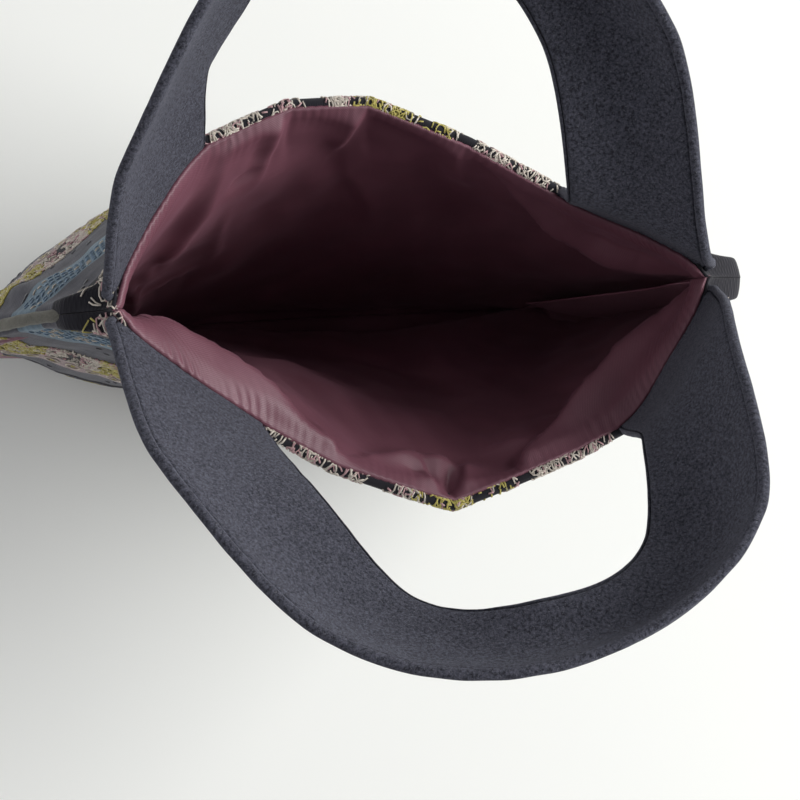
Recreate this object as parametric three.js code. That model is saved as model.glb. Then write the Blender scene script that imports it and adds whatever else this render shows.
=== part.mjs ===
// An egg-shaped cloth handbag standing open on its flattened bottom: two body panels with piping in the
// seam between them, a satin lining, and two crescent handles, each sewn from an outer and a facing layer.
// Millimetres, +Z up, +X along the mouth from its left corner to its right one, -Y towards the front panel.
import * as THREE from "three";

// Mouth
const MOUTH_WIDTH = 228; // corner to corner, as the mouth is held open
const MOUTH_CENTRE_X = 3;
const MOUTH_CENTRE_Y = 3;
const FRONT_OPENING = 78; // how far each rim stands out from the line between the corners
const BACK_OPENING = 72;
const CORNER_HEIGHT = 205;
const RIM_DIP = 12; // the middle of the rim lies this much lower than the corners

// Body
const BODY_WIDTH = 332; // seam to seam at the widest level
const WIDEST_HEIGHT = 98;
const SHOULDER_WIDTH = 282;
const SHOULDER_HEIGHT = 165;
const SHOULDER_DROP = 12; // the middle of a panel's shoulder lies this much lower than the seam's
const FOOT_LENGTH = 150; // the straight stretch of seam under the bag
const FOOT_DEPTH = 24; // each panel's flat foot, out from the seam
const FOOT_CENTRE_Y = 8; // the bag has sagged back a little, so the seam under it lies behind the mouth's
const FOOT_PRESS = 2.5; // how far the foot would reach below the floor if its own weight didn't flatten it
const FRONT_BELLY = 58; // how far each panel bulges from the seam at the widest level
const BACK_BELLY = 62;
const FRONT_SLANT = 1.3; // above 1 the front panel bulges most to the right of its middle
const BACK_SLANT = 1.1; // and the back one to the left, as the mouth has been pulled askew

// Cloth
const PANEL_THICKNESS = 1.6;
const LINING_THICKNESS = 0.6;
const HANDLE_CLOTH = 1.5; // each of a handle's two layers
const CLEARANCE = 0.3;
const PIPING_DIAMETER = 4.4;
const PIPING_START = 16; // along the seam from each mouth corner
const PIPING_CLEARANCE = 0.7; // the panels roll out a little past their seam
const PIPING_FLOOR_GAP = 1.3; // the bag stands on its panels, and the piping between them clears the floor

// Handles
const HANDLE_RISE = 96; // top of a handle above the mouth's corners
const FRONT_REACH = 120; // how far each handle lies out from the line between the corners
const BACK_REACH = 120;
const LEG_FOOT = 66; // length of each leg's seam on the rim
const HANDLE_GUTTER = 2.5; // the strip's hollow across its width
const HANDLE_SEAM_GAP = 0.5; // between a handle's foot and the rim that it is sewn to

// Each handle edge's course from the left foot to the right one: run along the strip from -1 to 1,
// share of the mouth's width, share of the reach, share of the rise
const FRONT_HANDLE_OUTER_EDGE = [[-0.84, 0.035, 0.42, 0.39], [-0.5, 0.232, 0.915, 0.74], [0, 0.535, 1, 1],
  [0.5, 0.82, 0.67, 1], [0.84, 0.915, 0.14, 0.48]];
const FRONT_HANDLE_INNER_EDGE = [[-0.84, 0.263, 0.535, 0.2], [-0.5, 0.382, 0.865, 0.46],
  [0, 0.544, 0.865, 0.71], [0.5, 0.71, 0.775, 0.615], [0.84, 0.79, 0.5, 0.3]];
const BACK_HANDLE_OUTER_EDGE = [[-0.84, 0.022, 0.35, 0.45], [-0.5, 0.189, 0.84, 0.875], [0, 0.496, 1, 0.97],
  [0.5, 0.768, 0.62, 0.86], [0.84, 0.886, 0.05, 0.47]];
const BACK_HANDLE_INNER_EDGE = [[-0.84, 0.167, 0.675, 0.18], [-0.5, 0.285, 0.925, 0.57],
  [0, 0.478, 0.88, 0.64], [0.5, 0.62, 0.63, 0.56], [0.84, 0.69, 0.25, 0.32]];

// How far each wall flares outwards towards its rim, in degrees, from the left corner to the right one
const FRONT_FLARES = [30, 26, 14, 12, 16];
const BACK_FLARES = [30, 16, 16, 2, 12];

// Each rim's course seen from above: share of the mouth's width, and share of the opening
const FRONT_COURSE = [[0, 0], [0.16, 0.4], [0.34, 0.77], [0.53, 1], [0.75, 0.8], [0.85, 0.65],
  [0.925, 0.35], [1, 0]];
const BACK_COURSE = [[0, 0], [0.075, 0.42], [0.167, 0.78], [0.3, 0.97], [0.42, 1], [0.6, 0.76],
  [0.77, 0.42], [0.89, 0.22], [1, 0]];

// Tucks: place along the rim as a share of its length, and how deep the cloth folds in
const FRONT_TUCKS = [[0.342, 1.2], [0.513, 2.4], [0.7, 1]];
const BACK_TUCKS = [[0.365, 1.8], [0.476, 1.8], [0.62, 1]];
const TUCK_HALF_WIDTH = 5.5;
const TUCK_LENGTH = 60;

// Folds of each panel: place across it and up it as shares, half width and half height, and how far the
// cloth stands out, or in where that is negative. Upright folds come down from the gathered rim, and wide
// ones lie over the foot, where the bag has slumped.
const FRONT_FOLDS = [[0.43, 0.6, 16, 48, 3.5], [0.6, 0.56, 14, 44, 3.2], [0.26, 0.52, 15, 40, 3],
  [0.76, 0.46, 15, 38, 3.2], [0.35, 0.3, 34, 10, 2.6], [0.66, 0.28, 32, 10, 2.8],
  [0.52, 0.42, 14, 20, -2.2], [0.15, 0.66, 12, 24, 2.4], [0.87, 0.64, 12, 24, 2.4]];
const BACK_FOLDS = [[0.42, 0.58, 15, 46, 3.4], [0.56, 0.55, 15, 44, 3.2], [0.28, 0.5, 16, 40, 3.2],
  [0.72, 0.5, 14, 40, 3], [0.4, 0.29, 34, 10, 2.6], [0.7, 0.27, 30, 10, 2.6],
  [0.49, 0.4, 14, 20, -2.2], [0.12, 0.74, 10, 26, 3], [0.86, 0.62, 12, 24, 2.4]];

// Mesh fineness
const PANEL_COLUMNS = 22;
const PANEL_ROWS = 13;
const HANDLE_STEPS = 40;
const HANDLE_ROWS = 4;
const SEAM_STEPS = 40;
const PIPING_STEPS = 56;
const PIPING_SIDES = 8; // an even number

const clothStack = Math.max(PANEL_THICKNESS + LINING_THICKNESS, 2 * HANDLE_CLOTH);
const seamHalfGap = clothStack + 2 * CLEARANCE; // from a panel's outer face to the seam's middle plane
const seamLift = PIPING_FLOOR_GAP + PIPING_DIAMETER + PIPING_CLEARANCE;
const liningInset = PANEL_THICKNESS + CLEARANCE;
const facingInset = HANDLE_CLOTH + CLEARANCE;
const radians = THREE.MathUtils.degToRad;
const lerp = THREE.MathUtils.lerp;
const smooth = THREE.MathUtils.smoothstep;

// A smooth curve through knots [[x, y], ...] in rising x, as a function of x.
function through(knots) {
  const slope = (i) => {
    const before = knots[Math.max(i - 1, 0)];
    const after = knots[Math.min(i + 1, knots.length - 1)];
    return (after[1] - before[1]) / (after[0] - before[0]);
  };
  return (x) => {
    let i = 0;
    while (i < knots.length - 2 && x > knots[i + 1][0]) i++;
    const [x0, y0] = knots[i];
    const [x1, y1] = knots[i + 1];
    const h = x1 - x0;
    const k = THREE.MathUtils.clamp((x - x0) / h, 0, 1);
    const k2 = k * k;
    const k3 = k2 * k;
    return (2 * k3 - 3 * k2 + 1) * y0 + (k3 - 2 * k2 + k) * h * slope(i)
      + (3 * k2 - 2 * k3) * y1 + (k3 - k2) * h * slope(i + 1);
  };
}

// The seam's course from the foot (v = 0) to a mouth corner (v = 1): half width, height and place.
const seamHalfWidth = through([
  [0, FOOT_LENGTH / 2], [0.12, lerp(FOOT_LENGTH, BODY_WIDTH, 0.47) / 2],
  [0.28, lerp(FOOT_LENGTH, BODY_WIDTH, 0.85) / 2], [0.5, BODY_WIDTH / 2],
  [0.8, SHOULDER_WIDTH / 2], [1, MOUTH_WIDTH / 2],
]);
const seamHeight = through([
  [0, seamLift], [0.12, lerp(seamLift, WIDEST_HEIGHT, 0.12)], [0.28, lerp(seamLift, WIDEST_HEIGHT, 0.45)],
  [0.5, WIDEST_HEIGHT], [0.8, SHOULDER_HEIGHT], [1, CORNER_HEIGHT],
]);
const seamY = through([
  [0, FOOT_CENTRE_Y], [0.25, lerp(FOOT_CENTRE_Y, MOUTH_CENTRE_Y, 0.7)],
  [0.5, MOUTH_CENTRE_Y], [1, MOUTH_CENTRE_Y],
]);
const seamX = (v) => lerp(0, MOUTH_CENTRE_X, smooth(v, 0.6, 1));

// The middle of a panel from the foot to the rim: its depth and height. What falls below zero is flattened.
const panelDepth = (belly) => through([
  [0, CLEARANCE], [0.06, FOOT_DEPTH * 0.4], [0.14, FOOT_DEPTH * 1.3], [0.28, lerp(FOOT_DEPTH, belly, 0.68)],
  [0.5, belly], [0.8, belly], [1, belly],
]);
const bellyHeight = through([
  [0, seamLift], [0.06, -FOOT_PRESS * 0.8], [0.14, -FOOT_PRESS], [0.28, WIDEST_HEIGHT * 0.24],
  [0.5, WIDEST_HEIGHT * 0.82], [0.8, SHOULDER_HEIGHT - SHOULDER_DROP], [1, CORNER_HEIGHT - RIM_DIP],
]);

// One side of the bag, from which its panel, lining and handle are made.
// outward is -1 at the front and +1 at the back.
function makeSide(sizes) {
  const { outward, opening, course, flares, tucks, folds, belly, slant } = sizes;
  const { reach, outerEdge, innerEdge } = sizes;
  const depth = panelDepth(belly);
  const rimCurve = new THREE.CatmullRomCurve3(course.map(([along, out]) => new THREE.Vector3(
    MOUTH_CENTRE_X + (along - 0.5) * MOUTH_WIDTH,
    MOUTH_CENTRE_Y + outward * (seamHalfGap + out * (opening - seamHalfGap)),
    0,
  )), false, "centripetal");
  const rimLength = rimCurve.getLength();
  const flare = through(flares.map((angle, i) => [i / (flares.length - 1), radians(angle)]));

  // The rim at share u of its length, and the direction that the wall rises in there.
  const rim = (u) => {
    const p = rimCurve.getPointAt(THREE.MathUtils.clamp(u, 0, 1));
    p.z = CORNER_HEIGHT - RIM_DIP * Math.sin(Math.PI * u);
    return p;
  };
  const rise = (u) => {
    const along = rimCurve.getTangentAt(THREE.MathUtils.clamp(u, 0.001, 0.999));
    const out = new THREE.Vector3(-along.y, along.x, 0).multiplyScalar(outward).normalize();
    return out.multiplyScalar(Math.sin(flare(u))).add(new THREE.Vector3(0, 0, Math.cos(flare(u))));
  };

  // The panel's outer face: u from the left seam to the right one, v from the foot to the rim.
  const wall = (u, v) => {
    const c = -Math.cos(Math.PI * u);
    const slanted = outward < 0 ? Math.pow(u, slant) : 1 - Math.pow(1 - u, slant);
    const fullness = Math.pow(Math.sin(Math.PI * slanted), 2.3);
    const edgeGap = lerp(CLEARANCE, seamHalfGap, smooth(v, 0, 0.14));
    const body = new THREE.Vector3(
      seamX(v) + seamHalfWidth(v) * c,
      seamY(v) + outward * (edgeGap + depth(v) * fullness),
      lerp(bellyHeight(v), seamHeight(v), Math.pow(Math.abs(c), 2.4)),
    );
    const drop = (1 - v) * (CORNER_HEIGHT + belly * 0.2);
    const collar = rim(u).addScaledVector(rise(u), -drop);
    const collarShare = smooth(v, 0.72, 1) * lerp(1, smooth(v, 0.93, 1), Math.pow(Math.abs(c), 4));
    body.lerp(collar, collarShare);
    body.z = Math.max(body.z, 0);
    return body;
  };
  const outwardNormal = (surface, a, b) => {
    const e = 0.004;
    const da = surface(Math.min(a + e, 1), b).sub(surface(Math.max(a - e, 0), b));
    const db = surface(a, Math.min(b + e, 1)).sub(surface(a, Math.max(b - e, 0)));
    return da.cross(db).normalize().multiplyScalar(-outward);
  };
  const tuckDepth = (u, v) => {
    const below = (1 - v) * CORNER_HEIGHT;
    const spread = TUCK_HALF_WIDTH + below * 0.16;
    const fade = 1 - smooth(below, 0, TUCK_LENGTH);
    return tucks.reduce((sum, [place, depth]) => {
      const away = (u - place) * rimLength;
      return sum + depth * fade * Math.exp(-((away / spread) ** 2));
    }, 0);
  };
  const foldHeight = (u, v) => {
    const fromSeam = smooth(Math.min(u, 1 - u), 0.03, 0.13);
    const fromRim = smooth((1 - v) * CORNER_HEIGHT, 8, 40);
    return fromSeam * fromRim * folds.reduce((sum, [across, up, halfWidth, halfHeight, height]) => {
      const a = (u - across) * rimLength / halfWidth;
      const b = (v - up) * CORNER_HEIGHT / halfHeight;
      return sum + height * Math.exp(-a * a - b * b);
    }, 0);
  };
  const panelFace = (inset) => (u, v) => {
    const sunk = inset + tuckDepth(u, v) - foldHeight(u, v);
    const p = wall(u, v).addScaledVector(outwardNormal(wall, u, v), -sunk);
    const past = outward * (p.y - seamY(v));
    if (past < CLEARANCE) p.y += outward * (CLEARANCE - past);
    p.z = Math.max(p.z, inset);
    return p;
  };

  // The handle: along runs -1..1 from the left foot to the right one, across 0..1 from inner to outer edge.
  const legShare = LEG_FOOT / rimLength;
  const lifted = (u) => rim(u).addScaledVector(rise(u), HANDLE_SEAM_GAP);
  const edge = (knots, foot) => {
    const points = knots.map(([along, across, out, up]) => [along, new THREE.Vector3(
      MOUTH_CENTRE_X + (across - 0.5) * MOUTH_WIDTH,
      MOUTH_CENTRE_Y + outward * out * reach,
      CORNER_HEIGHT + up * HANDLE_RISE,
    )]);
    const run = [[-1, lifted(foot)], ...points, [1, lifted(1 - foot)]];
    const axes = ["x", "y", "z"].map((axis) => through(run.map(([along, p]) => [along, p[axis]])));
    return (along) => new THREE.Vector3(...axes.map((axis) => axis(along)));
  };
  const outerLine = edge(outerEdge, 0);
  const innerLine = edge(innerEdge, legShare);
  const footing = (along) => Math.pow(Math.abs(along), 10);
  const rimShare = (along, across) => {
    const footShare = legShare * (1 - across);
    return along < 0 ? footShare : 1 - footShare;
  };
  const strip = (along, across) => {
    const p = innerLine(along).lerp(outerLine(along), across);
    const chord = lifted(rimShare(along, 0)).lerp(lifted(rimShare(along, 1)), across);
    return p.addScaledVector(lifted(rimShare(along, across)).sub(chord), footing(along));
  };
  const handle = (along, across) => {
    const flat = (a, b) => strip(2 * a - 1, b);
    const hollow = HANDLE_GUTTER * Math.sin(Math.PI * across) * (1 - along ** 6);
    return strip(along, across).addScaledVector(outwardNormal(flat, (along + 1) / 2, across), hollow);
  };
  const handleFace = (inset) => (along, across) => {
    const flat = (a, b) => handle(2 * a - 1, b);
    const square = outwardNormal(wall, rimShare(along, across), 1);
    const normal = outwardNormal(flat, (along + 1) / 2, across).lerp(square, footing(along)).normalize();
    return handle(along, across).addScaledVector(normal, -inset);
  };
  return { outward, rimLength, tucks, panelFace, handleFace };
}

const evenly = (steps, from, to) => Array.from({ length: steps + 1 }, (_, i) => lerp(from, to, i / steps));

// A closed sheet of cloth between two faces of a grid. facing, +1 or -1, turns its triangles outwards.
function sheet(columns, rows, outerFace, innerFace, facing) {
  const points = [];
  const place = (face) => rows.forEach((b) => columns.forEach((a) => points.push(...face(a, b).toArray())));
  place(outerFace);
  place(innerFace);
  const across = columns.length;
  const layer = across * rows.length;
  const at = (i, j, inner) => inner * layer + j * across + i;
  const faces = [];
  const quad = (a, b, c, d) => {
    if (facing > 0) faces.push(a, b, c, a, c, d);
    else faces.push(a, c, b, a, d, c);
  };
  for (let j = 0; j < rows.length - 1; j++) {
    for (let i = 0; i < across - 1; i++) {
      quad(at(i, j, 0), at(i + 1, j, 0), at(i + 1, j + 1, 0), at(i, j + 1, 0));
      quad(at(i, j, 1), at(i, j + 1, 1), at(i + 1, j + 1, 1), at(i + 1, j, 1));
    }
    quad(at(0, j, 0), at(0, j + 1, 0), at(0, j + 1, 1), at(0, j, 1));
    quad(at(across - 1, j, 0), at(across - 1, j, 1), at(across - 1, j + 1, 1), at(across - 1, j + 1, 0));
  }
  const top = rows.length - 1;
  for (let i = 0; i < across - 1; i++) {
    quad(at(i, 0, 0), at(i, 0, 1), at(i + 1, 0, 1), at(i + 1, 0, 0));
    quad(at(i, top, 0), at(i + 1, top, 0), at(i + 1, top, 1), at(i, top, 1));
  }
  const geometry = new THREE.BufferGeometry();
  geometry.setAttribute("position", new THREE.Float32BufferAttribute(points, 3));
  geometry.setIndex(faces);
  return geometry;
}

// Columns across a panel: closer together towards the seams, and five at each tuck.
function panelColumns(side) {
  const fold = TUCK_HALF_WIDTH / side.rimLength;
  const even = evenly(PANEL_COLUMNS, 0, 1).map((share) => 0.5 - 0.5 * Math.cos(Math.PI * share));
  const folds = side.tucks.flatMap(([place]) => evenly(4, place - 2 * fold, place + 2 * fold));
  const kept = even.filter((u) => folds.every((f) => Math.abs(f - u) > fold * 0.8));
  return [...kept, ...folds].sort((a, b) => a - b);
}
const panelRows = evenly(PANEL_ROWS, 0, 1).map((v) => lerp(v, smooth(v, 0, 1), 0.6));

const front = makeSide({
  outward: -1,
  opening: FRONT_OPENING,
  course: FRONT_COURSE,
  flares: FRONT_FLARES,
  tucks: FRONT_TUCKS,
  folds: FRONT_FOLDS,
  belly: FRONT_BELLY,
  slant: FRONT_SLANT,
  reach: FRONT_REACH,
  outerEdge: FRONT_HANDLE_OUTER_EDGE,
  innerEdge: FRONT_HANDLE_INNER_EDGE,
});
const back = makeSide({
  outward: 1,
  opening: BACK_OPENING,
  course: BACK_COURSE,
  flares: BACK_FLARES,
  tucks: BACK_TUCKS,
  folds: BACK_FOLDS,
  belly: BACK_BELLY,
  slant: BACK_SLANT,
  reach: BACK_REACH,
  outerEdge: BACK_HANDLE_OUTER_EDGE,
  innerEdge: BACK_HANDLE_INNER_EDGE,
});

const cloth = (color, roughness) => new THREE.MeshStandardMaterial({ color, roughness, metalness: 0 });
const embroidered = cloth(0x35343c, 0.95);
const satin = cloth(0x7c4d5a, 0.4);
const moleskin = cloth(0x3b3c46, 0.98);
const bias = cloth(0x55564f, 0.9);

const bag = new THREE.Group();
function add(name, geometry, material) {
  const mesh = new THREE.Mesh(geometry, material);
  mesh.name = name;
  bag.add(mesh);
}

for (const [label, side] of [["front", front], ["back", back]]) {
  const columns = panelColumns(side);
  const alongHandle = evenly(HANDLE_STEPS, -1, 1);
  const acrossHandle = evenly(HANDLE_ROWS, 0, 1);
  const panelLayer = (inset, thickness) => sheet(
    columns, panelRows, side.panelFace(inset), side.panelFace(inset + thickness), -side.outward);
  const handleLayer = (inset, thickness) => sheet(
    alongHandle, acrossHandle, side.handleFace(inset), side.handleFace(inset + thickness), -side.outward);
  add(`${label}_panel`, panelLayer(0, PANEL_THICKNESS), embroidered);
  add(`${label}_lining`, panelLayer(liningInset, LINING_THICKNESS), satin);
  add(`${label}_handle_outer`, handleLayer(0, HANDLE_CLOTH), moleskin);
  add(`${label}_handle_facing`, handleLayer(facingInset, HANDLE_CLOTH), moleskin);
}

// The piping follows the seam from beside one mouth corner, under the bag, to beside the other.
const pipingReach = PIPING_DIAMETER / 2 + PIPING_CLEARANCE;
const seamPoint = (hand, v) => new THREE.Vector3(
  seamX(v) + hand * seamHalfWidth(v),
  seamY(v),
  seamHeight(v),
);
const rising = evenly(SEAM_STEPS, 0, 1);
const seamCurve = new THREE.CatmullRomCurve3([
  ...rising.toReversed().map((v) => seamPoint(-1, v)),
  new THREE.Vector3(0, FOOT_CENTRE_Y, seamLift),
  ...rising.map((v) => seamPoint(1, v)),
], false, "centripetal");
const startShare = PIPING_START / seamCurve.getLength();
const pipingPath = evenly(PIPING_STEPS, startShare, 1 - startShare).map((k) => {
  const along = seamCurve.getTangentAt(k);
  const outwards = new THREE.Vector3(along.z, 0, -along.x).normalize();
  return seamCurve.getPointAt(k).addScaledVector(outwards, pipingReach);
});
const section = new THREE.Shape().absarc(0, 0, PIPING_DIAMETER / 2, 0, 2 * Math.PI);
add("seam_piping", new THREE.ExtrudeGeometry(section, {
  extrudePath: new THREE.CatmullRomCurve3(pipingPath, false, "centripetal"),
  steps: PIPING_STEPS,
  curveSegments: PIPING_SIDES / 2,
  bevelEnabled: false,
}), bias);

export default bag;
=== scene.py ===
# %% [markdown]
# # An egg-shaped cloth handbag
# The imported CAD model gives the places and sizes. Every visible piece of cloth is made again here with its
# folds, weave and threads, and stands for the plain CAD solid that it is named after.

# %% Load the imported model
import math

import bpy
import numpy as np
from mathutils import Matrix, Vector


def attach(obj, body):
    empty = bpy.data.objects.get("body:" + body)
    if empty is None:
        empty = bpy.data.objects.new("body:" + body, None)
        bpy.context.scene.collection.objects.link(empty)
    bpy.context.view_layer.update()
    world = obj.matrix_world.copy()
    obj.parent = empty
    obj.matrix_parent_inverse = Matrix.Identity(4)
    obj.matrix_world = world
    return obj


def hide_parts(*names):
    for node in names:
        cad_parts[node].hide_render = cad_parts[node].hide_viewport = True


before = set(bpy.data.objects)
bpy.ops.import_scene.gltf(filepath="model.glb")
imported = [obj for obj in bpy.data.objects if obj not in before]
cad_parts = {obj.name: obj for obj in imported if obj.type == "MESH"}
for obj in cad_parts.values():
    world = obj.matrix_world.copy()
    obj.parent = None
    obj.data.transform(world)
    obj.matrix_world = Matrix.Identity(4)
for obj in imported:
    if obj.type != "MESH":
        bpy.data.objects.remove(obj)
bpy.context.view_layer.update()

# %% [markdown]
# ## The bag's sizes
# Most of these are the driving sizes of the CAD model, in millimetres, and the cloth below is made from the
# same courses. The linings are drawn taut across the inside, so in places they lie well off their solids.

# %% Sizes
MOUTH_WIDTH = 228.0
MOUTH_CENTRE_X = 3.0
MOUTH_CENTRE_Y = 3.0
CORNER_HEIGHT = 205.0
RIM_DIP = 12.0
BODY_WIDTH = 332.0
WIDEST_HEIGHT = 98.0
SHOULDER_WIDTH = 282.0
SHOULDER_HEIGHT = 165.0
FOOT_LENGTH = 150.0
FOOT_DEPTH = 24.0
FOOT_CENTRE_Y = 8.0
SEAM_HALF_GAP = 3.6
SEAM_LIFT = 6.4
PIPING_DIAMETER = 4.4
PIPING_CLEARANCE = 0.7
HANDLE_RISE = 96.0
HANDLE_REACH = 120.0
LEG_FOOT = 66.0
HANDLE_GUTTER = 2.5
HANDLE_SEAM_GAP = 0.5
FOOT_PRESS = 2.5
SHOULDER_DROP = 12.0
SEWN_GAP = 0.06
SEAM_EDGE = 0.15
SEAM_REACH = 6.0
TAUTNESS = 0.85
TAUT_LINING = 0.92
LINING_FOOT = 92.0
LINING_BOTTOM = 12.0
LINING_END_RISE = 60.0
PANEL_THICKNESS = 1.6
LINING_THICKNESS = 0.6
METRE = 0.001

FRONT = dict(
    label="front", outward=-1, opening=78.0, belly=58.0, slant=1.3,
    course=[(0, 0), (0.16, 0.4), (0.34, 0.77), (0.53, 1), (0.75, 0.8), (0.85, 0.65), (0.925, 0.35), (1, 0)],
    flares=[30, 26, 14, 12, 16],
    tucks=[(0.342, 1.2), (0.513, 2.4), (0.7, 1)],
    lining_foot=[(0, -92), (0.25, -64), (0.5, 0), (0.75, 64), (1, 92)],
    folds=[(0.43, 0.6, 16, 48, 3.5), (0.6, 0.56, 14, 44, 3.2), (0.26, 0.52, 15, 40, 3),
           (0.76, 0.46, 15, 38, 3.2), (0.35, 0.3, 34, 10, 2.6), (0.66, 0.28, 32, 10, 2.8),
           (0.52, 0.42, 14, 20, -2.2), (0.15, 0.66, 12, 24, 2.4), (0.87, 0.64, 12, 24, 2.4)],
    outer=[(-0.84, 0.035, 0.42, 0.39), (-0.5, 0.232, 0.915, 0.74), (0, 0.535, 1, 1),
           (0.5, 0.82, 0.67, 1), (0.84, 0.915, 0.14, 0.48)],
    inner=[(-0.84, 0.263, 0.535, 0.2), (-0.5, 0.382, 0.865, 0.46), (0, 0.544, 0.865, 0.71),
           (0.5, 0.71, 0.775, 0.615), (0.84, 0.79, 0.5, 0.3)],
)
BACK = dict(
    label="back", outward=1, opening=72.0, belly=62.0, slant=1.1,
    course=[(0, 0), (0.075, 0.42), (0.167, 0.78), (0.3, 0.97), (0.42, 1), (0.6, 0.76), (0.77, 0.42),
            (0.89, 0.22), (1, 0)],
    flares=[30, 16, 16, 2, 12],
    tucks=[(0.365, 1.8), (0.476, 1.8), (0.62, 1)],
    lining_foot=[(0, -92), (0.2, -80), (0.37, -66), (0.6, 0), (0.8, 58), (1, 92)],
    folds=[(0.42, 0.58, 15, 46, 3.4), (0.56, 0.55, 15, 44, 3.2), (0.28, 0.5, 16, 40, 3.2),
           (0.72, 0.5, 14, 40, 3), (0.4, 0.29, 34, 10, 2.6), (0.7, 0.27, 30, 10, 2.6),
           (0.49, 0.4, 14, 20, -2.2), (0.12, 0.74, 10, 26, 3), (0.86, 0.62, 12, 24, 2.4)],
    outer=[(-0.84, 0.022, 0.35, 0.45), (-0.5, 0.189, 0.84, 0.875), (0, 0.496, 1, 0.97),
           (0.5, 0.768, 0.62, 0.86), (0.84, 0.886, 0.05, 0.47)],
    inner=[(-0.84, 0.167, 0.675, 0.18), (-0.5, 0.285, 0.925, 0.57), (0, 0.478, 0.88, 0.64),
           (0.5, 0.62, 0.63, 0.56), (0.84, 0.69, 0.25, 0.32)],
)

# %% [markdown]
# ## The camera
# The photograph looks almost straight down, turned a little and tilted from the left. The camera's place and
# its three directions were worked out from the picture's vertical vanishing point.

# %% Camera
CAMERA_PLACE = (-148.5, -33.3, 685.1)
CAMERA_RIGHT = (0.9587, -0.0742, 0.2747)
CAMERA_DOWN = (-0.0722, -0.9972, -0.0172)
CAMERA_FORWARD = (0.2752, -0.0034, -0.9614)
camera_data = bpy.data.cameras.new("camera")
camera_data.lens = 63
camera_data.sensor_width = 36
camera_data.clip_end = 20
camera = bpy.data.objects.new("camera", camera_data)
bpy.context.scene.collection.objects.link(camera)
camera_turn = Matrix((CAMERA_RIGHT, [-c for c in CAMERA_DOWN], [-c for c in CAMERA_FORWARD])).transposed()
camera.matrix_world = Matrix.Translation(Vector(CAMERA_PLACE) * METRE) @ camera_turn.to_4x4()
bpy.context.scene.camera = camera
print("camera at", tuple(camera.location))

# %% [markdown]
# ## Curves and grids
# A cloth surface is a grid of points: one direction runs along the bag from seam to seam, the other one up
# from the foot to the rim. With numpy the whole grid is worked out at once.


# %% Curve helpers
def smooth(x, low, high):
    """0 below low, 1 above high, and a soft step between."""
    k = np.clip((x - low) / (high - low), 0, 1)
    return k * k * (3 - 2 * k)


def lerp(a, b, share):
    return a + (b - a) * share


def through(knots):
    """A smooth curve through knots [(place, value), ...], where a value may be a point."""
    places = np.array([knot[0] for knot in knots], float)
    values = np.array([knot[1] for knot in knots], float)
    count = len(knots)
    before = np.maximum(np.arange(count) - 1, 0)
    after = np.minimum(np.arange(count) + 1, count - 1)
    slopes = ((values[after] - values[before]).T / (places[after] - places[before])).T

    def curve(x):
        x = np.asarray(x, float)
        i = np.clip(np.searchsorted(places, x) - 1, 0, count - 2)
        h = places[i + 1] - places[i]
        k = np.clip((x - places[i]) / h, 0, 1)
        if values.ndim > 1:
            h = h[..., None]
            k = k[..., None]
        return ((2 * k**3 - 3 * k**2 + 1) * values[i] + (k**3 - 2 * k**2 + k) * h * slopes[i]
                + (3 * k**2 - 2 * k**3) * values[i + 1] + (k**3 - k**2) * h * slopes[i + 1])

    return curve


def unit(vectors):
    return vectors / np.maximum(np.linalg.norm(vectors, axis=-1, keepdims=True), 1e-9)


def lengths_along(points):
    """Distance run along a line of points, from its first one."""
    steps = np.linalg.norm(np.diff(points, axis=0), axis=-1)
    return np.concatenate([[0.0], np.cumsum(steps)])


def grid_normals(points, outward):
    """Unit normals of a grid [row, column, xyz], pointing out of the bag."""
    along = np.gradient(points, axis=1)
    up = np.gradient(points, axis=0)
    return unit(np.cross(along, up)) * -outward


def ripples(a, b, wavelength, seed, count=16):
    """Soft irregular waves over two coordinates in mm, mostly between -1 and 1."""
    draw = np.random.default_rng(seed)
    total = np.zeros(np.broadcast(a, b).shape)
    for _ in range(count):
        heading = draw.uniform(0, 2 * math.pi)
        length = wavelength * draw.uniform(0.7, 1.5)
        phase = draw.uniform(0, 2 * math.pi)
        total += np.sin((a * math.cos(heading) + b * math.sin(heading)) * 2 * math.pi / length + phase)
    return total / math.sqrt(count * 1.6)


# %% [markdown]
# ## The walls of the bag
# The seam between the two panels is an egg that stands on its flat foot. Each panel bulges from it, and near
# the top it turns into a collar that follows its own wavy rim.

# %% The seam
seam_half_width = through([
    (0, FOOT_LENGTH / 2), (0.12, lerp(FOOT_LENGTH, BODY_WIDTH, 0.47) / 2),
    (0.28, lerp(FOOT_LENGTH, BODY_WIDTH, 0.85) / 2), (0.5, BODY_WIDTH / 2),
    (0.8, SHOULDER_WIDTH / 2), (1, MOUTH_WIDTH / 2)])
seam_height = through([
    (0, SEAM_LIFT), (0.12, lerp(SEAM_LIFT, WIDEST_HEIGHT, 0.12)),
    (0.28, lerp(SEAM_LIFT, WIDEST_HEIGHT, 0.45)), (0.5, WIDEST_HEIGHT),
    (0.8, SHOULDER_HEIGHT), (1, CORNER_HEIGHT)])
seam_y = through([
    (0, FOOT_CENTRE_Y), (0.25, lerp(FOOT_CENTRE_Y, MOUTH_CENTRE_Y, 0.7)),
    (0.5, MOUTH_CENTRE_Y), (1, MOUTH_CENTRE_Y)])
belly_height = through([
    (0, SEAM_LIFT), (0.06, -FOOT_PRESS * 0.8), (0.14, -FOOT_PRESS), (0.28, WIDEST_HEIGHT * 0.24),
    (0.5, WIDEST_HEIGHT * 0.82), (0.8, SHOULDER_HEIGHT - SHOULDER_DROP), (1, CORNER_HEIGHT - RIM_DIP)])

lining_height = through([
    (0, SEAM_LIFT + 3), (0.14, 17), (0.28, 36), (0.5, WIDEST_HEIGHT * 0.86),
    (0.8, SHOULDER_HEIGHT - SHOULDER_DROP), (1, CORNER_HEIGHT - RIM_DIP)])


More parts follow.
